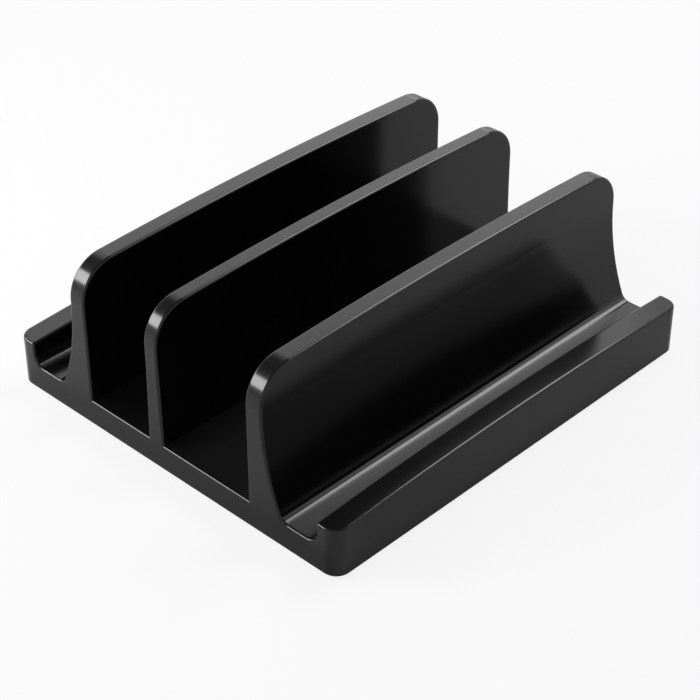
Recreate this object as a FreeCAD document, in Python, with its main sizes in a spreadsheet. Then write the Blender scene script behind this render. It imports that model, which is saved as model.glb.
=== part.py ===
import FreeCAD, Part
import math
import os
from enum import IntEnum
from types import SimpleNamespace

import Sketcher

# Vertical laptop stand: one black moulding with three upright plates on a low base, on four soft feet.
# Frame: +X across the plates, +Y along them, +Z up. The origin is on the table, under the middle.
# The front end is at -Y, the narrow slot at -X of the middle plate and the wide slot at +X of it.
# Outside each outer plate a groove with a low lip holds a phone or a tablet against the flared face.
# The moulding is drawn from its own underside up, and the feet lift it off the table by foot_drop.
# The middle plate's taper is what each of its faces gains from the shoulder, under the round of its end,
# down to the floor. Lengths are in millimetres.

SIZES = {
    "stand_length": 160.0,
    "plan_corner_radius": 5.0,
    "floor_height": 9.2,
    "narrow_slot_width": 27.1,
    "wide_slot_width": 37.4,
    "plate_height": 56.2,
    "plate_crown": 2.0,
    "plate_corner_radius": 12.5,
    "outer_plate_thickness": 6.4,
    "middle_plate_thickness": 5.4,
    "middle_plate_taper": 0.7,
    "flare_reach": 7.6,
    "flare_root_radius": 3.4,
    "groove_width": 21.3,
    "groove_corner_radius": 4.0,
    "lip_width": 8.1,
    "lip_height": 17.2,
    "lip_crown": 2.4,
    "edge_round": 0.8,
    "base_edge_bevel": 0.5,
    "wall": 2.0,
    "rib_thickness": 1.8,
    "rib_cells": 6,
    "foot_diameter": 10.0,
    "foot_thickness": 1.6,
    "foot_recess": 0.8,
    "foot_clearance": 0.1,
    "foot_inset": 14.5,
    "cut_margin": 2.0,
}

# Sizes that follow from the ones above, as formulas of the sheet.
DERIVED = {
    "stand_width": "=2 * (lip_width + groove_width + outer_plate_thickness) + narrow_slot_width"
                   " + middle_plate_thickness + wide_slot_width",
    "half_width": "=stand_width / 2",
    "half_length": "=stand_length / 2",
    "foot_drop": "=foot_thickness - foot_recess",
    "lip_top": "=lip_height + lip_crown",
    "lip_inner_x": "=half_width - lip_width",
    "plate_top": "=plate_height + plate_crown",
    "plate_face_x": "=lip_inner_x - groove_width",
    "plate_slot_x": "=plate_face_x - outer_plate_thickness",
    "middle_left_x": "=narrow_slot_width - plate_slot_x",
    "middle_right_x": "=plate_slot_x - wide_slot_width",
    "shoulder_height": "=plate_height - plate_corner_radius",
    "shoulder_rise": "=shoulder_height - floor_height",
    "taper_radius": "=(middle_plate_taper ^ 2 + shoulder_rise ^ 2) / (2 * middle_plate_taper)",
    "flare_radius": "=(flare_reach ^ 2 + shoulder_rise ^ 2) / (2 * flare_reach)",
    "flare_centre_x": "=plate_face_x + flare_radius",
    "plate_crown_radius": "=(half_length ^ 2 + plate_crown ^ 2) / (2 * plate_crown)",
    "lip_crown_radius": "=(half_length ^ 2 + lip_crown ^ 2) / (2 * lip_crown)",
    "core_half_width": "=half_width - wall",
    "core_half_length": "=half_length - wall",
    "core_corner_radius": "=max(plan_corner_radius - wall; edge_round)",
    "core_bottom": "=-cut_margin",
    "core_ceiling": "=floor_height - wall",
    "lip_core_top": "=lip_height - wall",
    "lip_core_x": "=lip_inner_x + wall",
    "rib_pitch": "=(2 * core_half_length + rib_thickness) / rib_cells",
    "cell_length": "=rib_pitch - rib_thickness",
    "recess_radius": "=foot_diameter / 2 + foot_clearance",
    "boss_radius": "=recess_radius + wall",
    "foot_x": "=half_width - foot_inset",
    "foot_y": "=half_length - foot_inset",
}

V = FreeCAD.Vector
TOUCH = 1e-4
SIDES = {"left": -1, "right": 1}
ENDS = {"front": -1, "back": 1}


class PointOf(IntEnum):
    """The points of an edge, by the numbers that constraints know them by."""

    START = 1
    END = 2
    CENTRE = 3


ORIGIN_POINT = (-1, PointOf.START)


def on_sheet(formula):
    """A formula such as "half_width - wall" with each name written as the sheet's property."""
    words = formula.replace("(", "( ").replace(")", " )").split()
    return " ".join("sizes." + word if word in SIZES or word in DERIVED else word for word in words)


def value_of(holder, formula):
    """The number that a formula of the sheet gives now, asked through any object of the document."""
    return float(holder.evalExpression(on_sheet(formula)))


def on_side(sign, formula):
    """A formula of the sheet as it is for a sign of 1, or turned negative for a sign of -1."""
    return "%d * ( %s )" % (sign, formula)


def make_sheet(doc):
    """Adds the spreadsheet of sizes, and returns their values by name."""
    sheet = doc.addObject("Spreadsheet::Sheet", "sizes")
    rows = [(name, str(value)) for name, value in SIZES.items()] + list(DERIVED.items())
    for row, (name, content) in enumerate(rows, start=1):
        sheet.set("A%d" % row, name)
        sheet.set("B%d" % row, content)
        sheet.setAlias("B%d" % row, name)
    doc.recompute()
    return SimpleNamespace(**{name: float(sheet.get(name)) for name, _ in rows})


class Outline:
    """A closed outline in a sketch: drawn edge by edge, then held by constraints.

    Edges are numbered in the order they are drawn in, and each joins the one before it.
    """

    def __init__(self, sketch, x, y):
        """Starts at the corner (x, y) of the sketch's plane."""
        self.sketch = sketch
        self.pen = (x, y)
        self.edges = []
        self.smooth = set()

    def line(self, x, y, smooth=False):
        """Draws a straight edge to (x, y), tangent to the edge before it where smooth is set."""
        index = self.sketch.addGeometry(Part.LineSegment(V(*self.pen, 0), V(x, y, 0)), False)
        if abs(x - self.pen[0]) < TOUCH:
            self.sketch.addConstraint(Sketcher.Constraint("Vertical", index))
        elif abs(y - self.pen[1]) < TOUCH and not smooth:
            self.sketch.addConstraint(Sketcher.Constraint("Horizontal", index))
        return self._added(index, (PointOf.START, PointOf.END), (x, y), smooth)

    def arc(self, x, y, centre, clockwise=False, smooth=False):
        """Draws an arc round a centre to (x, y), tangent to the edge before it where smooth is set."""
        low, high = [math.atan2(p[1] - centre[1], p[0] - centre[0]) for p in (self.pen, (x, y))]
        ends = (PointOf.START, PointOf.END)
        if clockwise:
            low, high = high, low
            ends = (PointOf.END, PointOf.START)
        circle = Part.Circle(V(*centre, 0), V(0, 0, 1), math.hypot(x - centre[0], y - centre[1]))
        index = self.sketch.addGeometry(Part.ArcOfCircle(circle, low, high), False)
        return self._added(index, ends, (x, y), smooth)

    def _added(self, index, ends, point, smooth):
        """Notes an edge that was drawn, and gives its number."""
        self.edges.append((index, ends))
        self.pen = point
        if smooth:
            self.smooth.add(len(self.edges) - 1)
        return len(self.edges) - 1

    def close(self):
        """Joins every edge to the one before it, and the first to the last."""
        for number, (index, ends) in enumerate(self.edges):
            before, before_ends = self.edges[number - 1]
            kind = "Tangent" if number in self.smooth else "Coincident"
            self.sketch.addConstraint(Sketcher.Constraint(kind, before, before_ends[1], index, ends[0]))

    def first(self, edge):
        """The point where an edge starts, as the sketch names it."""
        index, ends = self.edges[edge]
        return index, ends[0]

    def last(self, edge):
        """The point where an edge ends, as the sketch names it."""
        index, ends = self.edges[edge]
        return index, ends[1]

    def centre(self, edge):
        """The centre of an arc, as the sketch names it."""
        return self.edges[edge][0], PointOf.CENTRE

    def across(self, name, point, formula):
        """Sets a point's distance from the sketch's origin along its X, by a formula of the sheet."""
        hold(self.sketch, name, formula, "DistanceX", *ORIGIN_POINT, *point)

    def up(self, name, point, formula):
        """Sets a point's distance from the sketch's origin along its Y, by a formula of the sheet."""
        hold(self.sketch, name, formula, "DistanceY", *ORIGIN_POINT, *point)

    def radius(self, name, edge, formula):
        """Sets an arc's radius by a formula of the sheet."""
        hold(self.sketch, name, formula, "Radius", self.edges[edge][0])

    def level(self, edge, point):
        """Keeps an arc's centre level with a point."""
        self.sketch.addConstraint(Sketcher.Constraint("Horizontal", *self.centre(edge), *point))


def hold(sketch, name, formula, kind, *where):
    """Adds a named constraint to a sketch, with a formula of the sheet as its value."""
    index = sketch.addConstraint(Sketcher.Constraint(kind, *where, value_of(sketch, formula)))
    sketch.renameConstraint(index, name)
    sketch.setExpression("Constraints." + name, on_sheet(formula))


def add_circle(sketch, name, x, y, radius):
    """Adds a circle to a sketch, its centre and radius given by formulas of the sheet."""
    middle = V(value_of(sketch, x), value_of(sketch, y), 0)
    index = sketch.addGeometry(Part.Circle(middle, V(0, 0, 1), value_of(sketch, radius)), False)
    hold(sketch, name + "_x", x, "DistanceX", *ORIGIN_POINT, index, PointOf.CENTRE)
    hold(sketch, name + "_y", y, "DistanceY", *ORIGIN_POINT, index, PointOf.CENTRE)
    hold(sketch, name + "_radius", radius, "Radius", index)


def origin_feature(body, role):
    """A body's own origin plane or axis, by its role, such as XY_Plane."""
    return next(f for f in body.Origin.OriginFeatures if f.Role == role)


def new_sketch(body, name, plane, offset=None):
    """Adds a sketch on an origin plane of the body, moved along the plane's normal by a formula."""
    sketch = body.newObject("Sketcher::SketchObject", name)
    sketch.AttachmentSupport = (origin_feature(body, plane), [""])
    sketch.MapMode = "FlatFace"
    if offset is not None:
        sketch.setExpression("AttachmentOffset.Base.z", on_sheet(offset))
    return sketch


def add_pad(body, name, sketch, length, **settings):
    """Adds material from a sketch, as long as a formula of the sheet says."""
    return add_feature(body, "Pad", name, sketch, length, settings)


def add_pocket(body, name, sketch, length=None, **settings):
    """Cuts a sketch out of the body, as deep as a formula says, or right through."""
    before = body.Tip.Shape.Volume
    pocket = add_feature(body, "Pocket", name, sketch, length, settings)
    if pocket.Shape.Volume >= before:
        raise RuntimeError(name + " cuts nothing")
    return pocket


def add_feature(body, kind, name, sketch, length, settings):
    """Adds a feature of a sketch with its settings, and recomputes the document."""
    feature = body.newObject("PartDesign::" + kind, name)
    feature.Profile = sketch
    for key, value in settings.items():
        setattr(feature, key, value)
    if length is not None:
        feature.setExpression("Length", on_sheet(length))
    body.Document.recompute()
    return feature


def mirror(body, name, feature):
    """Repeats a feature on the other side of the body's middle plane, x = 0."""
    mirrored = body.newObject("PartDesign::Mirrored", name)
    mirrored.Originals = [feature]
    mirrored.MirrorPlane = (origin_feature(body, "YZ_Plane"), [""])
    body.Tip = mirrored
    body.Document.recompute()


def repeat_along(body, name, features, count, length):
    """Repeats features along +Y: a count of times in all, over a length, both formulas of the sheet."""
    pattern = body.newObject("PartDesign::LinearPattern", name)
    pattern.Originals = features
    pattern.Direction = (origin_feature(body, "Y_Axis"), [""])
    pattern.setExpression("Occurrences", on_sheet(count))
    pattern.setExpression("Length", on_sheet(length))
    body.Tip = pattern
    body.Document.recompute()


def ease_edges(body, kind, name, test, **formulas):
    """Adds a Fillet or a Chamfer on the edges of the body so far that pass a test."""
    base = body.Tip
    numbers = [n for n, edge in enumerate(base.Shape.Edges, start=1) if test(edge)]
    feature = body.newObject("PartDesign::" + kind, name)
    feature.Base = (base, ["Edge%d" % n for n in numbers])
    for setting, formula in formulas.items():
        feature.setExpression(setting, on_sheet(formula))
    body.Document.recompute()


def stands_at(edge, x, y):
    """Whether an edge is upright, at (|x|, |y|) in plan."""
    box = edge.BoundBox
    upright = box.XLength < TOUCH and box.YLength < TOUCH
    return upright and abs(abs(box.XMax) - x) < TOUCH and abs(abs(box.YMax) - y) < TOUCH


def lies_at_height(edge, height):
    """Whether the whole edge lies at one height."""
    box = edge.BoundBox
    return abs(box.ZMin - height) < TOUCH and abs(box.ZMax - height) < TOUCH


def is_outside_corner(shape, edge, reach=0.02, least_turn=20.0):
    """Whether an edge is a sharp outside corner of a solid.

    The solid is probed at a small reach from the edge, and its two faces turn by a least angle there.
    """
    faces = shape.ancestorsOfType(edge, Part.Face)
    if len(faces) != 2:
        return False
    point = edge.valueAt((edge.FirstParameter + edge.LastParameter) / 2)
    normals = [face.normalAt(*face.Surface.parameter(point)) for face in faces]
    if math.degrees(normals[0].getAngle(normals[1])) < least_turn:
        return False
    return not shape.isInside(point + (normals[1] - normals[0]) * reach, TOUCH, False)


def draw_base(body, size):
    """The base slab under everything, a plain rectangle in plan."""
    sketch = new_sketch(body, "base_outline", "XY_Plane")
    x, y = size.half_width, size.half_length
    outline = Outline(sketch, -x, -y)
    front = outline.line(x, -y)
    outline.line(x, y)
    back = outline.line(-x, y)
    outline.line(-x, -y)
    outline.close()
    outline.across("left_side", outline.first(front), on_side(-1, "half_width"))
    outline.across("right_side", outline.last(front), "half_width")
    outline.up("front_end", outline.first(front), on_side(-1, "half_length"))
    outline.up("back_end", outline.first(back), "half_length")
    add_pad(body, "base_slab", sketch, "floor_height")


def draw_rails(body, size):
    """Each side's section, run along the whole stand: lip, groove and flared outer plate."""
    corner_x = size.lip_inner_x - size.groove_corner_radius
    corner_z = size.floor_height + size.groove_corner_radius

    root_z = size.floor_height + size.flare_root_radius
    apart = size.flare_radius - size.flare_root_radius
    root_x = size.flare_centre_x - math.sqrt(apart ** 2 - (size.shoulder_height - root_z) ** 2)
    grown = size.flare_radius / apart
    root_end_x = size.flare_centre_x + (root_x - size.flare_centre_x) * grown
    root_end_z = size.shoulder_height + (root_z - size.shoulder_height) * grown

    sketch = new_sketch(body, "rail_section", "XZ_Plane")
    outline = Outline(sketch, size.half_width, 0)
    outer = outline.line(size.half_width, size.lip_top)
    lip_top = outline.line(size.lip_inner_x, size.lip_top)
    outline.line(size.lip_inner_x, corner_z)
    corner = outline.arc(corner_x, size.floor_height, (corner_x, corner_z), clockwise=True, smooth=True)
    outline.line(root_x, size.floor_height, smooth=True)
    root = outline.arc(root_end_x, root_end_z, (root_x, root_z), clockwise=True, smooth=True)
    flare = outline.arc(size.plate_face_x, size.shoulder_height,
                        (size.flare_centre_x, size.shoulder_height), clockwise=True, smooth=True)
    face = outline.line(size.plate_face_x, size.plate_top, smooth=True)
    plate_top = outline.line(size.plate_slot_x, size.plate_top)
    outline.line(size.plate_slot_x, 0)
    outline.line(size.half_width, 0)
    outline.close()

    outline.across("outer_side", outline.first(outer), "half_width")
    outline.up("underside", outline.first(outer), "0")
    outline.up("lip_top", outline.last(outer), "lip_top")
    outline.across("lip_inner_side", outline.last(lip_top), "lip_inner_x")
    outline.radius("groove_corner", corner, "groove_corner_radius")
    outline.up("groove_floor", outline.last(corner), "floor_height")
    outline.up("groove_floor_end", outline.first(root), "floor_height")
    outline.radius("flare_root", root, "flare_root_radius")
    outline.radius("flare", flare, "flare_radius")
    outline.up("flare_top", outline.last(flare), "shoulder_height")
    outline.across("plate_face", outline.last(face), "plate_face_x")
    outline.up("plate_top", outline.last(face), "plate_top")
    outline.across("plate_slot_side", outline.last(plate_top), "plate_slot_x")
    mirror(body, "left_rail", add_pad(body, "right_rail", sketch, "stand_length", SideType="Symmetric"))


def draw_middle_plate(body, size):
    """The plate between the two slots, tapered on both faces and sunk into the base slab."""
    left_x, right_x, shoulder = size.middle_left_x, size.middle_right_x, size.shoulder_height
    radius = size.taper_radius
    spread = radius - math.sqrt(radius ** 2 - shoulder ** 2)
    sketch = new_sketch(body, "middle_section", "XZ_Plane")
    outline = Outline(sketch, right_x + spread, 0)
    right_taper = outline.arc(right_x, shoulder, (right_x + radius, shoulder), clockwise=True)
    right = outline.line(right_x, size.plate_top, smooth=True)
    top = outline.line(left_x, size.plate_top)
    left = outline.line(left_x, shoulder)
    left_taper = outline.arc(left_x - spread, 0, (left_x - radius, shoulder), clockwise=True, smooth=True)
    outline.line(right_x + spread, 0)
    outline.close()
    outline.up("underside", outline.first(right_taper), "0")
    outline.up("right_shoulder", outline.first(right), "shoulder_height")
    outline.across("right_side", outline.last(right), "middle_right_x")
    outline.up("plate_top", outline.last(right), "plate_top")
    outline.across("left_side", outline.last(top), "middle_left_x")
    outline.up("left_shoulder", outline.last(left), "shoulder_height")
    outline.radius("right_taper", right_taper, "taper_radius")
    outline.radius("left_taper", left_taper, "taper_radius")
    add_pad(body, "middle_plate", sketch, "stand_length", SideType="Symmetric")


def draw_roof(outline, low, size, top):
    """Draws the rest of an outline that clears all above an arch: out past both ends, and over them.

    The pen is at the arch's back end, at the height low, and the formula top gives what it clears.
    """
    past = size.half_length + size.cut_margin
    above = value_of(outline.sketch, top) + size.cut_margin
    outline.line(past, low)
    outline.line(past, above)
    roof = outline.line(-past, above)
    outline.line(-past, low)
    outline.line(-size.half_length, low)
    outline.close()
    outline.across("past_front_end", outline.last(roof), on_side(-1, "half_length + cut_margin"))
    outline.across("past_back_end", outline.first(roof), "half_length + cut_margin")
    outline.up("above", outline.first(roof), top + " + cut_margin")


def shape_plate_tops(body, size):
    """Trims the plates seen from the side: a gentle arch along the top, and a round at each end."""
    arch_z = size.plate_top - size.plate_crown_radius
    apart = size.plate_crown_radius - size.plate_corner_radius
    corner_y = size.half_length - size.plate_corner_radius
    corner_z = arch_z + math.sqrt(apart ** 2 - corner_y ** 2)
    grown = size.plate_crown_radius / apart
    meet_y = corner_y * grown
    meet_z = arch_z + (corner_z - arch_z) * grown

    sketch = new_sketch(body, "plate_top_outline", "YZ_Plane")
    outline = Outline(sketch, -size.half_length, corner_z)
    front = outline.arc(-meet_y, meet_z, (-corner_y, corner_z), clockwise=True)
    arch = outline.arc(meet_y, meet_z, (0, arch_z), clockwise=True, smooth=True)
    back = outline.arc(size.half_length, corner_z, (corner_y, corner_z), clockwise=True, smooth=True)
    draw_roof(outline, corner_z, size, "plate_top")
    outline.radius("front_corner", front, "plate_corner_radius")
    outline.radius("arch", arch, "plate_crown_radius")
    outline.radius("back_corner", back, "plate_corner_radius")
    outline.across("front_end", outline.first(front), on_side(-1, "half_length"))
    outline.across("back_end", outline.last(back), "half_length")
    outline.across("arch_middle", outline.centre(arch), "0")
    outline.up("arch_centre", outline.centre(arch), "plate_top - plate_crown_radius")
    outline.level(front, outline.first(front))
    outline.level(back, outline.last(back))
    add_pocket(body, "plate_tops", sketch, Type="ThroughAll", SideType="Symmetric")


def shape_lip_tops(body, size):
    """Trims the lips to their own gentle arch along the top."""
    sketch = new_sketch(body, "lip_top_outline", "YZ_Plane", offset="lip_inner_x - groove_width / 2")
    outline = Outline(sketch, -size.half_length, size.lip_height)
    arch = outline.arc(size.half_length, size.lip_height, (0, size.lip_top - size.lip_crown_radius),
                       clockwise=True)
    draw_roof(outline, size.lip_height, size, "lip_top")
    outline.across("front_end", outline.first(arch), on_side(-1, "half_length"))
    outline.across("back_end", outline.last(arch), "half_length")
    outline.across("arch_middle", outline.centre(arch), "0")
    outline.up("arch_centre", outline.centre(arch), "lip_top - lip_crown_radius")
    outline.up("end_height", outline.first(arch), "lip_height")
    mirror(body, "left_lip_top", add_pocket(body, "right_lip_top", sketch, Type="ThroughAll", Reversed=True))


def round_outside(body, size):
    """Rounds the stand's corners in plan and its outside edges, and bevels the underside's rim."""
    ease_edges(body, "Fillet", "plan_corners",
               lambda edge: stands_at(edge, size.half_width, size.half_length),
               Radius="plan_corner_radius")
    shape = body.Tip.Shape
    ease_edges(body, "Fillet", "outside_edges",
               lambda edge: is_outside_corner(shape, edge) and not lies_at_height(edge, 0),
               Radius="edge_round")
    ease_edges(body, "Chamfer", "base_rim", lambda edge: lies_at_height(edge, 0),
               Size="base_edge_bevel")


def core_sketch(body, name):
    """A sketch across the stand, at the front of the first of the cells under it."""
    return new_sketch(body, name, "XZ_Plane", offset="core_half_length")


def core_box(body, name, left, right, top):
    """One cell of a hollow with upright sides at left and right, up to a top, all three formulas."""
    sketch = core_sketch(body, name + "_section")
    left_x, right_x, low, high = [value_of(sketch, f) for f in (left, right, "core_bottom", top)]
    outline = Outline(sketch, left_x, low)
    bottom = outline.line(right_x, low)
    outline.line(right_x, high)
    ceiling = outline.line(left_x, high)
    outline.line(left_x, low)
    outline.close()
    outline.across("left_side", outline.first(bottom), left)
    outline.across("right_side", outline.last(bottom), right)
    outline.up("below", outline.first(bottom), "core_bottom")
    outline.up("top", outline.first(ceiling), top)
    return add_pocket(body, name, sketch, "cell_length")


def core_outer_plate(body, size, word, sign):
    """One cell of the hollow inside an outer plate, between the slot's face and the flare."""
    low, high = size.core_bottom, size.shoulder_height
    slot_x = size.plate_slot_x + size.wall
    flare_radius = size.flare_radius + size.wall
    foot_x = size.flare_centre_x - math.sqrt(flare_radius ** 2 - (high - low) ** 2)

    outline = Outline(core_sketch(body, word + "_plate_core_section"), sign * foot_x, low)
    flare = outline.arc(sign * (size.plate_face_x - size.wall), high, (sign * size.flare_centre_x, high),
                        clockwise=sign > 0)
    top = outline.line(sign * slot_x, high)
    outline.line(sign * slot_x, low)
    outline.line(sign * foot_x, low)
    outline.close()
    outline.up("below", outline.first(flare), "core_bottom")
    outline.up("top", outline.last(flare), "shoulder_height")
    outline.across("flare_side", outline.last(flare), on_side(sign, "plate_face_x - wall"))
    outline.across("slot_side", outline.last(top), on_side(sign, "plate_slot_x + wall"))
    outline.radius("flare", flare, "flare_radius + wall")
    outline.level(flare, outline.last(flare))
    return add_pocket(body, word + "_plate_core", outline.sketch, "cell_length")


def core_middle_plate(body, size):
    """One cell of the hollow inside the middle plate."""
    low, high = size.core_bottom, size.shoulder_height
    left_x = size.middle_left_x + size.wall
    right_x = size.middle_right_x - size.wall
    radius = size.taper_radius + size.wall
    spread = radius - math.sqrt(radius ** 2 - (high - low) ** 2)

    outline = Outline(core_sketch(body, "middle_core_section"), right_x + spread, low)
    right = outline.arc(right_x, high, (right_x + radius, high), clockwise=True)
    outline.line(left_x, high)
    left = outline.arc(left_x - spread, low, (left_x - radius, high), clockwise=True)
    outline.line(right_x + spread, low)
    outline.close()
    outline.up("below", outline.first(right), "core_bottom")
    outline.up("top", outline.last(right), "shoulder_height")
    outline.across("right_side", outline.last(right), "middle_right_x - wall")
    outline.across("left_side", outline.first(left), "middle_left_x + wall")
    outline.radius("right_taper", right, "taper_radius + wall")
    outline.radius("left_taper", left, "taper_radius + wall")
    outline.level(right, outline.last(right))
    outline.level(left, outline.first(left))
    return add_pocket(body, "middle_core", outline.sketch, "cell_length")


def core_underside(body, size):
    """Hollows the moulding from below to an even wall, in a row of cells with a rib between each two."""
    left_side = on_side(-1, "core_half_width")
    cores = [core_box(body, "base_core", left_side, "core_half_width", "core_ceiling"),
             core_box(body, "left_lip_core", left_side, on_side(-1, "lip_core_x"), "lip_core_top"),
             core_box(body, "right_lip_core", "lip_core_x", "core_half_width", "lip_core_top"),
             core_middle_plate(body, size)]
    for word, sign in SIDES.items():
        cores.append(core_outer_plate(body, size, word, sign))
    repeat_along(body, "cells", cores, "rib_cells", "(rib_cells - 1) * rib_pitch")
    ease_edges(body, "Fillet", "core_corners",
               lambda edge: stands_at(edge, size.core_half_width, size.core_half_length),
               Radius="core_corner_radius")


def foot_places():
    """The name of each foot, with the signs of its place across and along the stand."""
    return {"foot_%s_%s" % (end, side): (SIDES[side], ENDS[end]) for end in ENDS for side in SIDES}


def add_foot_bosses(body, size):
    """A round boss under each corner of the base, with a shallow recess that holds its foot."""
    bosses = new_sketch(body, "boss_circles", "XY_Plane")
    recesses = new_sketch(body, "recess_circles", "XY_Plane")
    for name, (across, along) in foot_places().items():
        x, y = on_side(across, "foot_x"), on_side(along, "foot_y")
        add_circle(bosses, name, x, y, "boss_radius")
        add_circle(recesses, name, x, y, "recess_radius")
    add_pad(body, "foot_bosses", bosses, "floor_height - wall / 2")
    add_pocket(body, "foot_recesses", recesses, "foot_recess", Reversed=True)


def make_stand_body(doc, size):
    """The stand's one moulding, lifted off the table by what the feet stand out of their recesses."""
    body = doc.addObject("PartDesign::Body", "stand_body")
    draw_base(body, size)
    draw_rails(body, size)
    draw_middle_plate(body, size)
    shape_plate_tops(body, size)
    shape_lip_tops(body, size)
    round_outside(body, size)
    core_underside(body, size)
    add_foot_bosses(body, size)
    body.setExpression("Placement.Base.z", on_sheet("foot_drop"))


def make_foot(doc, name, across, along):
    """A soft round foot, seated in its recess and standing on the table."""
    body = doc.addObject("PartDesign::Body", name)
    sketch = new_sketch(body, name + "_circle", "XY_Plane")
    add_circle(sketch, "pad", "0", "0", "foot_diameter / 2")
    add_pad(body, name + "_pad", sketch, "foot_thickness")
    body.setExpression("Placement.Base.x", on_sheet(on_side(across, "foot_x")))
    body.setExpression("Placement.Base.y", on_sheet(on_side(along, "foot_y")))


def check(doc):
    """Stops with a plain message if a step failed, or if a piece isn't one valid solid."""
    for item in doc.Objects:
        if {"Invalid", "Error"} & set(item.State):
            raise RuntimeError("%s failed: %s" % (item.Name, item.State))
    for body in doc.findObjects("PartDesign::Body"):
        shape = body.Shape
        if shape.isNull() or not shape.isValid() or len(shape.Solids) != 1:
            raise RuntimeError(body.Label + " isn't one valid solid")


def export(doc):
    """Writes each piece to a STEP file with the piece's name."""
    os.makedirs("parts", exist_ok=True)
    for body in doc.findObjects("PartDesign::Body"):
        body.Shape.exportStep("parts/%s.step" % body.Label)


def main():
    doc = FreeCAD.newDocument("VerticalLaptopStand")
    size = make_sheet(doc)
    make_stand_body(doc, size)
    for name, (across, along) in foot_places().items():
        make_foot(doc, name, across, along)
    doc.recompute()
    check(doc)
    export(doc)


main()
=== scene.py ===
"""Looks of a vertical laptop stand: one black satin moulding on four soft feet, in a plain studio."""

import logging
import math
from dataclasses import dataclass
from enum import Enum
from typing import Any, Iterable, Mapping, Optional, Union

import bmesh
import bpy
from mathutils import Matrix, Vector


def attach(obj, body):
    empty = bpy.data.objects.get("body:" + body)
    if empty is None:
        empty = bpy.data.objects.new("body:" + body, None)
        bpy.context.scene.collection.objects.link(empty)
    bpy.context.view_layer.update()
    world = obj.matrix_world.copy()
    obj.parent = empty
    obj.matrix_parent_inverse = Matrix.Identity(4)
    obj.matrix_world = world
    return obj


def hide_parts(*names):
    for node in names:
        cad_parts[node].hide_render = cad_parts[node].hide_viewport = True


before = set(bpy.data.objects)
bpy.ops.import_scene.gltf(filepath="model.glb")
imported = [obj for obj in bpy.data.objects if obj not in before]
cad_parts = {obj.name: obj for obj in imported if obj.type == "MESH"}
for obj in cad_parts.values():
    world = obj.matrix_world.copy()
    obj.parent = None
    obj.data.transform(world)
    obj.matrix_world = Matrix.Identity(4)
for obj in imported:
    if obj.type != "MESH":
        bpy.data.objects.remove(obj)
log = logging.getLogger("laptop_stand")

Colour = tuple[float, float, float]
Point = bmesh.types.BMVert
Row = list[Point]
Patch = list[bmesh.types.BMFace]
Normals = dict[Point, Vector]

UP = Vector((0.0, 0.0, 1.0))
WHITE = (1.0, 1.0, 1.0, 1.0)


class FootPlace(Enum):
    """The corner that a foot stands under. The front is the end at -Y, and the left is the side at -X."""

    FRONT_LEFT = "foot_front_left"
    FRONT_RIGHT = "foot_front_right"
    BACK_LEFT = "foot_back_left"
    BACK_RIGHT = "foot_back_right"


class Ray(Enum):
    """A kind of ray that the studio tells from others, by its name on the Light Path node."""

    CAMERA = "Is Camera Ray"
    GLOSSY = "Is Glossy Ray"
    TRANSMISSION = "Is Transmission Ray"


class Socket:
    """An output socket that carries a number, with Python's operators as Math nodes."""

    def __init__(self, tree: "ShaderTree", link: bpy.types.NodeSocket) -> None:
        """Wraps an output socket of a tree."""
        self.tree = tree
        self.link = link

    def _math(self, operation: str, first: "Value", second: "Value") -> "Socket":
        """Adds a Math node with two values, and gives its result."""
        return self.tree.node("ShaderNodeMath", {"operation": operation}, {0: first, 1: second})

    def __add__(self, other: "Value") -> "Socket":
        """This value plus another."""
        return self._math("ADD", self, other)

    __radd__ = __add__

    def __sub__(self, other: "Value") -> "Socket":
        """This value less another."""
        return self._math("SUBTRACT", self, other)

    def __rsub__(self, other: "Value") -> "Socket":
        """Another value less this one."""
        return self._math("SUBTRACT", other, self)

    def __mul__(self, other: "Value") -> "Socket":
        """This value times another."""
        return self._math("MULTIPLY", self, other)

    __rmul__ = __mul__


Value = Union[float, Socket]


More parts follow.
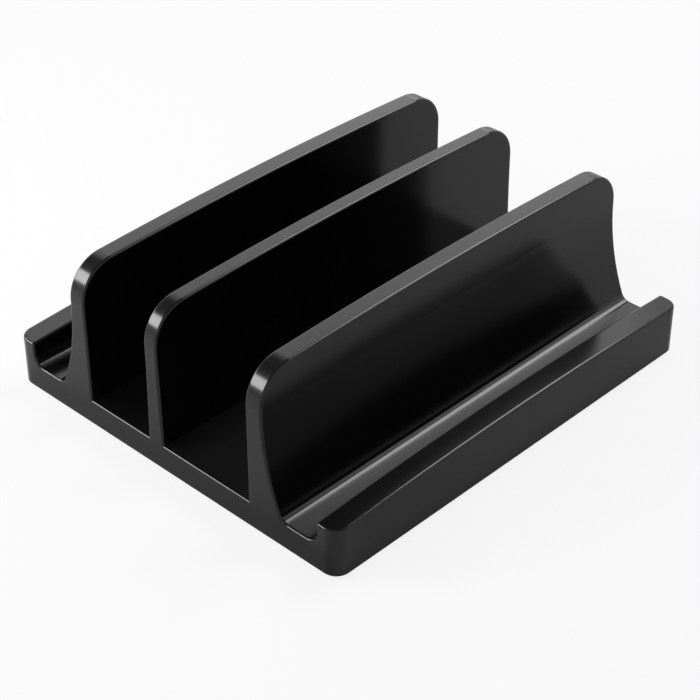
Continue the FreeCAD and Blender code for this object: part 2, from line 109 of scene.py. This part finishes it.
class ShaderTree:
    """The node tree of a material or of the world, emptied and built anew.

    A Mix node's sockets for colours go by number, because those for other values have the same names.
    """

    MIX_SHARE = 0
    MIX_FIRST = 6
    MIX_SECOND = 7
    MIX_RESULT = 2

    def __init__(self, owner: Union[bpy.types.Material, bpy.types.World]) -> None:
        """Takes over a node tree.

        Args:
            owner: The material or the world that it belongs to.
        """
        owner.use_nodes = True
        self.nodes = owner.node_tree.nodes
        self.links = owner.node_tree.links
        self.nodes.clear()

    def node(self, kind: str, settings: Optional[Mapping[str, Any]] = None,
             inputs: Optional[Mapping[Any, Any]] = None, output: Union[int, str] = 0) -> Socket:
        """Adds a node.

        Args:
            kind: The node's type.
            settings: Its own properties, which are set first.
            inputs: What goes into its sockets, by name or number: a number, a colour or a Socket.
            output: The socket that is wanted, by name or number.

        Returns:
            The wanted output socket. It is empty for a node that has none, such as the tree's last.
        """
        made = self.nodes.new(kind)
        for name, value in (settings or {}).items():
            setattr(made, name, value)
        for name, value in (inputs or {}).items():
            if isinstance(value, Socket):
                self.links.new(value.link, made.inputs[name])
            else:
                made.inputs[name].default_value = value
        return Socket(self, made.outputs[output] if made.outputs else None)

    def tinted(self, colour: Colour, share: float, pattern: Socket) -> Socket:
        """Adds a colour that a pattern takes from a darker tint to a lighter one.

        Args:
            colour: The colour in the middle.
            share: How much darker and lighter than that it gets, as a share of it.
            pattern: Nought where it is darkest, and one where it is lightest.

        Returns:
            The colour at each place.
        """
        dark, light = [tuple(level * part for part in colour) + (1.0,) for level in (1 - share, 1 + share)]
        return self.node("ShaderNodeMix", {"data_type": "RGBA"},
                         {self.MIX_SHARE: pattern, self.MIX_FIRST: dark, self.MIX_SECOND: light},
                         output=self.MIX_RESULT)

    def bump(self, height: Socket) -> Socket:
        """Adds the normal of a surface that is raised by a height in metres."""
        return self.node("ShaderNodeBump", inputs={"Strength": 1.0, "Distance": 1.0, "Height": height})

    def is_ray(self, *kinds: Ray) -> Socket:
        """Adds a test of the ray that arrives.

        Args:
            kinds: The kinds of ray that pass.

        Returns:
            One for a ray of these kinds, and nought for any other.
        """
        passed, *others = [self.node("ShaderNodeLightPath", output=kind.value) for kind in kinds]
        for other in others:
            passed = passed + other
        return self.node("ShaderNodeClamp", inputs={"Value": passed})


@dataclass(frozen=True)
class Noise:
    """An uneven pattern on a piece's own coordinates, with values around a half.

    The pitch is the size of its features in metres, the detail is how many finer layers it has, and the
    roughness is how much they show.
    """

    MIDDLE = 0.5

    pitch: float
    detail: float
    roughness: float = 0.55

    def build(self, tree: ShaderTree) -> Socket:
        """Adds the pattern.

        Args:
            tree: The tree that it goes into.

        Returns:
            The pattern's value at each place.
        """
        place = tree.node("ShaderNodeTexCoord", output="Object")
        return tree.node("ShaderNodeTexNoise", inputs={
            "Vector": place, "Scale": 1 / self.pitch, "Detail": self.detail, "Roughness": self.roughness})


@dataclass(frozen=True)
class MouldedPlastic:
    """Black plastic out of a finely polished mould: satin gloss, with the mould's faint texture.

    Its colour is uneven by the clouds, and its gloss by the clouds and the grain. The grain and the ripple
    are raised, and each height in metres is what such a pattern has where its value is one.
    """

    name: str = "satin_black_plastic"
    colour: Colour = (0.0030, 0.0030, 0.0031)
    tint_share: float = 0.25
    ior: float = 1.42
    roughness: float = 0.17
    roughness_spread: float = 0.04
    clouds: Noise = Noise(pitch=0.02, detail=3.0)
    grain: Noise = Noise(pitch=0.0005, detail=2.0)
    grain_height: float = 0.0000006
    ripple: Noise = Noise(pitch=0.012, detail=1.0)
    ripple_height: float = 0.000003

    def material(self) -> bpy.types.Material:
        """Makes the material.

        Returns:
            The material, under the finish's name.
        """
        made = bpy.data.materials.new(self.name)
        tree = ShaderTree(made)
        clouds, grain, ripple = [noise.build(tree) for noise in (self.clouds, self.grain, self.ripple)]
        uneven = (clouds - Noise.MIDDLE) + (grain - Noise.MIDDLE)
        shader = tree.node("ShaderNodeBsdfPrincipled", inputs={
            "Base Color": tree.tinted(self.colour, self.tint_share, clouds),
            "Roughness": self.roughness + uneven * self.roughness_spread,
            "IOR": self.ior,
            "Normal": tree.bump(grain * self.grain_height + ripple * self.ripple_height)})
        tree.node("ShaderNodeOutputMaterial", inputs={"Surface": shader})
        return made


@dataclass(frozen=True)
class SoftRubber:
    """The matt black rubber of the feet, with a slightly dusty, grained skin."""

    name: str = "soft_black_rubber"
    colour: Colour = (0.018, 0.018, 0.019)
    tint_share: float = 0.2
    roughness: float = 0.62
    roughness_spread: float = 0.12
    grain: Noise = Noise(pitch=0.0004, detail=3.0, roughness=0.5)
    grain_height: float = 0.00001

    def material(self) -> bpy.types.Material:
        """Makes the material.

        Returns:
            The material, under the finish's name.
        """
        made = bpy.data.materials.new(self.name)
        tree = ShaderTree(made)
        grain = self.grain.build(tree)
        shader = tree.node("ShaderNodeBsdfPrincipled", inputs={
            "Base Color": tree.tinted(self.colour, self.tint_share, grain),
            "Roughness": self.roughness + (grain - Noise.MIDDLE) * self.roughness_spread,
            "Normal": tree.bump(grain * self.grain_height)})
        tree.node("ShaderNodeOutputMaterial", inputs={"Surface": shader})
        return made


def dress(piece: bpy.types.Object, *finishes: bpy.types.Material) -> None:
    """Gives a piece its finishes.

    Args:
        piece: The piece.
        finishes: Its materials. All its faces have the first one until they are given another.
    """
    piece.data.materials.clear()
    for finish in finishes:
        piece.data.materials.append(finish)


def put_in_scene(name: str, data: bpy.types.ID) -> bpy.types.Object:
    """Makes an object, and links it to the scene.

    Args:
        name: Its name.
        data: The mesh, the light or the camera that it is made of.

    Returns:
        The object, which is at the origin.
    """
    made = bpy.data.objects.new(name, data)
    bpy.context.scene.collection.objects.link(made)
    return made


def aim(thing: bpy.types.Object, target: Vector, back: Vector, distance: float) -> None:
    """Places a lamp or a camera so that it looks at a target.

    Args:
        thing: The lamp or the camera.
        target: What it looks at.
        back: The direction from there back to it, of length one.
        distance: How far away it is.
    """
    thing.location = target + back * distance
    thing.rotation_euler = back.to_track_quat("Z", "Y").to_euler()


class Surface:
    """A copy of a node's surface to work on, which keeps the exact normal at each corner of its faces."""

    LAYER = "exact_normal"

    def __init__(self, source: bpy.types.Mesh) -> None:
        """Takes the copy.

        Args:
            source: The node's mesh.
        """
        self.shape = bmesh.new()
        self.shape.from_mesh(source)
        self.layer = self.shape.loops.layers.float_vector.new(self.LAYER)
        normals = iter(source.corner_normals)
        for face in self.shape.faces:
            for corner in face.loops:
                corner[self.layer] = next(normals).vector

    def patches(self) -> list[Patch]:
        """Finds the surface's patches.

        Returns:
            Each patch, as the faces that hang together by their edges.
        """
        found = []
        seen: set[bmesh.types.BMFace] = set()
        for start in self.shape.faces:
            if start in seen:
                continue
            patch = [start]
            seen.add(start)
            for face in patch:
                for other in (linked for edge in face.edges for linked in edge.link_faces):
                    if other not in seen:
                        seen.add(other)
                        patch.append(other)
            found.append(patch)
        return found

    def normals_of(self, patch: Patch) -> Normals:
        """The exact normal at each of a patch's points."""
        return {corner.vert: corner[self.layer].copy() for face in patch for corner in face.loops}

    def clear(self, patch: Patch) -> None:
        """Takes a patch's faces away, and leaves its edges and points."""
        bmesh.ops.delete(self.shape, geom=patch, context="FACES_ONLY")

    def add_triangle(self, points: tuple[Point, Point, Point], normals: Normals) -> None:
        """Adds a face that points the way of its normals.

        Args:
            points: Its three points.
            normals: The exact normals, with those of the three points among them.
        """
        face = self.shape.faces.new(points)
        face.smooth = True
        face.normal_update()
        if face.normal.dot(normals[points[0]]) < 0:
            face.normal_flip()
        for corner in face.loops:
            corner[self.layer] = normals[corner.vert]

    def finished(self, name: str) -> bpy.types.Mesh:
        """Makes a mesh of the surface, and lets go of the copy.

        Args:
            name: The mesh's name.

        Returns:
            The mesh, with its exact normals, and without the edges and points that no face uses.
        """
        edges = [edge for edge in self.shape.edges if not edge.link_faces]
        bmesh.ops.delete(self.shape, geom=edges, context="EDGES")
        points = [point for point in self.shape.verts if not point.link_faces]
        bmesh.ops.delete(self.shape, geom=points, context="VERTS")
        mesh = bpy.data.meshes.new(name)
        self.shape.to_mesh(mesh)
        self.shape.free()
        exact = mesh.attributes[self.LAYER]
        normals = [Vector(corner.vector) for corner in exact.data]
        mesh.attributes.remove(exact)
        mesh.normals_split_custom_set(normals)
        return mesh


@dataclass(frozen=True)
class TaperedPlate:
    """The middle plate, whose two faces lean out from its shoulders down to the floor.

    The rounds of its four upright edges follow that taper. The node's facets run over them in long fans,
    which cut off the round between one row of points and the next. Here the rows are stitched one by one.

    The two faces are given at the shoulders. The slack is how far off a point may be.
    """

    left_face: float = -0.00785
    right_face: float = -0.00245
    taper: float = 0.0007
    half_length: float = 0.080
    edge_round: float = 0.0008
    shoulder: float = 0.0445
    floor: float = 0.0100
    slack: float = 0.000002

    def is_round(self, patch: Patch) -> bool:
        """Tells the rounds of the plate's upright edges from the rest of the surface.

        Args:
            patch: Faces that hang together.

        Returns:
            Whether they lie on the plate and at one of its ends, and reach from the floor to the shoulders.
        """
        places = [point.co for face in patch for point in face.verts]
        low, high = [Vector([pick(place[axis] for place in places) for axis in range(3)])
                     for pick in (min, max)]
        inner, outer = sorted((abs(low.y), abs(high.y)))
        on_plate = (low.x > self.left_face - self.taper - self.slack
                    and high.x < self.right_face + self.taper + self.slack)
        at_end = inner > self.half_length - self.edge_round - self.slack and outer - inner > self.slack
        from_floor = self.floor - self.edge_round - self.slack < low.z < self.floor + self.slack
        return on_plate and at_end and from_floor and abs(high.z - self.shoulder) < self.slack

    def stitch(self, surface: Surface, patch: Patch) -> bool:
        """Makes a round's facets anew, in rows between its two sides.

        Args:
            surface: The surface that it is in.
            patch: The faces of the round.

        Returns:
            Whether its sides have a point each for every row, without which it stays as it is.
        """
        normals = surface.normals_of(patch)
        border = sorted((point for point in normals if point.is_boundary),
                        key=lambda point: (-abs(point.co.y), -point.co.z))
        wall_starts = self.half_length - self.edge_round
        top = [point for point in border if point.co.z > self.shoulder - self.slack]
        bottom = [point for point in border if point.co.z < self.floor + self.slack]
        end_side = [point for point in border if abs(point.co.y) > self.half_length - self.slack]
        wall_side = [point for point in border if abs(point.co.y) < wall_starts + self.slack]
        if len(end_side) != len(wall_side) or (top[0], top[-1]) != (end_side[0], wall_side[0]):
            return False
        surface.clear(patch)
        rows = [top]
        for at_end, at_wall in zip(end_side[1:-1], wall_side[1:-1]):
            rows.append(self.row(surface, top, at_end, at_wall, normals))
        rows.append(bottom)
        for upper, lower in zip(rows, rows[1:]):
            self.join(surface, upper, lower, normals)
        return True

    def row(self, surface: Surface, top: Row, at_end: Point, at_wall: Point, normals: Normals) -> Row:
        """Makes a row of points across a round, with the top row's form.

        Args:
            surface: The surface that it is in.
            top: The round's top row, from the end face to the wall.
            at_end: The new row's first point, which is there.
            at_wall: Its last point, which is there too.
            normals: The exact normals, to which those of the new points are added.

        Returns:
            The row, from the end face to the wall.
        """
        made = [at_end]
        for step, point in enumerate(top[1:-1], start=1):
            share = step / (len(top) - 1)
            down = (at_end.co - top[0].co).lerp(at_wall.co - top[-1].co, share)
            lean = (normals[at_end] - normals[top[0]]).lerp(normals[at_wall] - normals[top[-1]], share)
            made.append(surface.shape.verts.new(point.co + down))
            normals[made[-1]] = (normals[point] + lean).normalized()
        return made + [at_wall]

    def join(self, surface: Surface, upper: Row, lower: Row, normals: Normals) -> None:
        """Fills the strip between two rows with triangles, from the end face to the wall.

        Args:
            surface: The surface that they are in.
            upper: The row above.
            lower: The row below.
            normals: The exact normals of their points.
        """
        above, below = 0, 0
        while above < len(upper) - 1 or below < len(lower) - 1:
            goes_on_above = below == len(lower) - 1 or (
                above < len(upper) - 1 and abs(upper[above + 1].co.y) >= abs(lower[below + 1].co.y))
            ahead = upper[above + 1] if goes_on_above else lower[below + 1]
            surface.add_triangle((upper[above], ahead, lower[below]), normals)
            above, below = (above + 1, below) if goes_on_above else (above, below + 1)


@dataclass
class StandBody:
    """The one moulding: base, three plates, two grooves and their lips.

    The mould was polished for the surfaces on show, and left as it was cut for the hollow underside. The
    probe is how far off a face the test for the underside starts.
    """

    node: str = "stand_body"
    piece: str = "stand_moulding"
    plate: TaperedPlate = TaperedPlate()
    finish: MouldedPlastic = MouldedPlastic()
    underside: MouldedPlastic = MouldedPlastic(
        name="matt_black_plastic", colour=(0.0050, 0.0050, 0.0052), roughness=0.42, roughness_spread=0.10,
        grain=Noise(pitch=0.0007, detail=2.0), grain_height=0.000012, ripple_height=0.000006)
    probe: float = 0.0002

    def is_underneath(self, piece: bpy.types.Object, face: bpy.types.MeshPolygon) -> bool:
        """Whether a face has the moulding above it and nothing of it below."""
        start = face.center + face.normal * self.probe
        return piece.ray_cast(start, UP)[0] and not piece.ray_cast(start, -UP)[0]

    def shown(self) -> bpy.types.Object:
        """Makes the piece that is shown for the node.

        Returns:
            The node's own surface, with the rounds of the middle plate's edges stitched anew.
        """
        surface = Surface(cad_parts[self.node].data)
        rounds = [patch for patch in surface.patches() if self.plate.is_round(patch)]
        stitched = [self.plate.stitch(surface, patch) for patch in rounds]
        log.info("%s: %d of %d edge rounds stitched", self.piece, sum(stitched), len(rounds))
        piece = put_in_scene(self.piece, surface.finished(self.piece))
        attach(piece, "root")
        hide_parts(self.node)
        bpy.context.view_layer.update()
        return piece

    def build(self) -> list[bpy.types.Object]:
        """Makes the moulding and dresses it, outside and underneath.

        Returns:
            The moulding, alone in a list.
        """
        piece = self.shown()
        dress(piece, self.finish.material(), self.underside.material())
        for face in piece.data.polygons:
            face.material_index = int(self.is_underneath(piece, face))
        return [piece]


@dataclass
class Feet:
    """The four soft pads under the corners of the base."""

    finish: SoftRubber = SoftRubber()

    def build(self) -> list[bpy.types.Object]:
        """Dresses the pads.

        Returns:
            The four pads.
        """
        rubber = self.finish.material()
        pads = [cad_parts[place.value] for place in FootPlace]
        for pad in pads:
            dress(pad, rubber)
        return pads


@dataclass(frozen=True)
class Softbox:
    """A rectangular lamp that faces the stand.

    The direction is where it stands as seen from the stand, and the radiance what a mirror shows of it.
    """

    name: str
    direction: tuple[float, float, float]
    distance: float
    width: float
    height: float
    radiance: float

    def build(self, target: Vector) -> None:
        """Hangs the lamp.

        Args:
            target: The place that it faces.
        """
        data = bpy.data.lights.new(self.name, "AREA")
        data.shape = "RECTANGLE"
        data.size = self.width
        data.size_y = self.height
        data.energy = self.radiance * math.pi * self.width * self.height
        lamp = put_in_scene(self.name, data)
        aim(lamp, target, Vector(self.direction).normalized(), self.distance)
        lamp.visible_camera = False


@dataclass(frozen=True)
class Fade:
    """A soft change of level: the first one up to a start, and the last one from an end on."""

    start: float
    end: float
    first: float
    last: float

    def build(self, tree: ShaderTree, value: Socket) -> Socket:
        """Adds the level that goes with a value.

        Args:
            tree: The tree that it goes into.
            value: What the start and the end are measured by.

        Returns:
            The level.
        """
        return tree.node("ShaderNodeMapRange", {"interpolation_type": "SMOOTHSTEP"},
                         {"Value": value, "From Min": self.start, "From Max": self.end,
                          "To Min": self.first, "To Max": self.last})


@dataclass
class Studio:
    """A plain white floor under plain soft light.

    The floor glows for the camera, so that it looks white, and a little in what gloss or glass shows of it.
    Further off it fades into the room, which looks white all round and dimmer overhead, and sheds little
    light of its own.

    The key box is mirrored by the tops of the plates and lips, the overhead box by the grooves' floors and
    the edges along the plates, the rim box by the right flared face and its root, and the front box by the
    plates' near corners. The front box and the left box light the floor that the front ends mirror.
    """

    floor_half: float = 3.0
    floor_colour: tuple[float, float, float, float] = (0.72, 0.72, 0.72, 1.0)
    floor_glow: Fade = Fade(start=0.3, end=1.8, first=0.85, last=1.0)
    floor_mirrored_glow: float = 0.05
    sky_light: float = 0.12
    sky_seen: Fade = Fade(start=0.4, end=0.8, first=1.0, last=0.25)
    target: tuple[float, float, float] = (0.0, 0.0, 0.02)
    softboxes: tuple[Softbox, ...] = (
        Softbox("key_box", (-0.69, 0.54, 0.52), distance=1.2, width=0.95, height=0.78, radiance=1.1),
        Softbox("overhead_box", (0.09, 0.62, 0.78), distance=0.9, width=0.50, height=0.34, radiance=9.0),
        Softbox("rim_box", (0.566, 0.60, 0.57), distance=1.0, width=0.35, height=0.35, radiance=1.4),
        Softbox("front_box", (-0.566, -0.72, 0.42), distance=0.9, width=0.45, height=0.34, radiance=13.0),
        Softbox("left_box", (-0.80, -0.50, 0.33), distance=0.32, width=0.12, height=0.12, radiance=7.0),
    )

    def floor_material(self) -> bpy.types.Material:
        """Makes the floor's white.

        Returns:
            The material, which keeps shadows and takes the glow on top.
        """
        made = bpy.data.materials.new("floor_white")
        tree = ShaderTree(made)
        matt = tree.node("ShaderNodeBsdfDiffuse", inputs={"Color": self.floor_colour})
        glow = tree.node("ShaderNodeEmission", inputs={"Color": WHITE, "Strength": 1.0})
        place = tree.node("ShaderNodeTexCoord", output="Object")
        away = tree.node("ShaderNodeVectorMath", {"operation": "LENGTH"}, {"Vector": place}, output="Value")
        share = (tree.is_ray(Ray.CAMERA) * self.floor_glow.build(tree, away)
                 + tree.is_ray(Ray.GLOSSY, Ray.TRANSMISSION) * self.floor_mirrored_glow)
        mixed = tree.node("ShaderNodeMixShader", inputs={"Fac": share, 1: matt, 2: glow})
        tree.node("ShaderNodeOutputMaterial", inputs={"Surface": mixed})
        return made

    def build_floor(self) -> None:
        """Lays the floor, which keeps the stand's shadow."""
        mesh = bpy.data.meshes.new("floor")
        shape = bmesh.new()
        bmesh.ops.create_grid(shape, x_segments=1, y_segments=1, size=self.floor_half)
        shape.to_mesh(mesh)
        shape.free()
        floor = put_in_scene("floor", mesh)
        dress(floor, self.floor_material())

    def build_sky(self) -> None:
        """Lights the room from all round."""
        world = bpy.data.worlds.new("studio")
        bpy.context.scene.world = world
        tree = ShaderTree(world)
        direction = tree.node("ShaderNodeTexCoord", output="Generated")
        upwards = tree.node("ShaderNodeSeparateXYZ", inputs={"Vector": direction}, output="Z")
        seen = self.sky_seen.build(tree, upwards)
        sees = tree.is_ray(Ray.CAMERA, Ray.GLOSSY, Ray.TRANSMISSION)
        strength = self.sky_light + sees * (seen - self.sky_light)
        light = tree.node("ShaderNodeBackground", inputs={"Color": WHITE, "Strength": strength})
        tree.node("ShaderNodeOutputWorld", inputs={"Surface": light})

    def build(self) -> None:
        """Sets up floor, sky and lamps."""
        self.build_floor()
        self.build_sky()
        for softbox in self.softboxes:
            softbox.build(Vector(self.target))
        bpy.context.scene.view_settings.view_transform = "Standard"


@dataclass
class PhotoCamera:
    """The camera at the photograph's viewing angle.

    Azimuth 0 looks along +Y. Angles are in degrees, places in metres, and the lens and the sensor's width in
    millimetres.
    """

    target: tuple[float, float, float] = (0.007656, -0.009028, 0.01411)
    azimuth: float = 43.89
    elevation: float = 35.29
    distance: float = 0.63336
    lens: float = 102.661
    sensor: float = 36.0

    def build(self) -> None:
        """Places the camera and makes it the scene's own."""
        azimuth, elevation = math.radians(self.azimuth), math.radians(self.elevation)
        back = Vector((math.sin(azimuth) * math.cos(elevation), -math.cos(azimuth) * math.cos(elevation),
                       math.sin(elevation)))
        data = bpy.data.cameras.new("photo_camera")
        data.lens = self.lens
        data.sensor_width = self.sensor
        camera = put_in_scene("photo_camera", data)
        aim(camera, Vector(self.target), back, self.distance)
        bpy.context.scene.camera = camera


def main() -> None:
    """Builds the studio and the stand's looks."""
    logging.basicConfig(level=logging.INFO, format="%(name)s: %(message)s")
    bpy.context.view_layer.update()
    PhotoCamera().build()
    Studio().build()
    for assembly in (StandBody(), Feet()):
        for piece in assembly.build():
            log.info("%s: dressed in %s", piece.name, " and ".join(piece.data.materials.keys()))


if __name__ == "__main__":
    main()
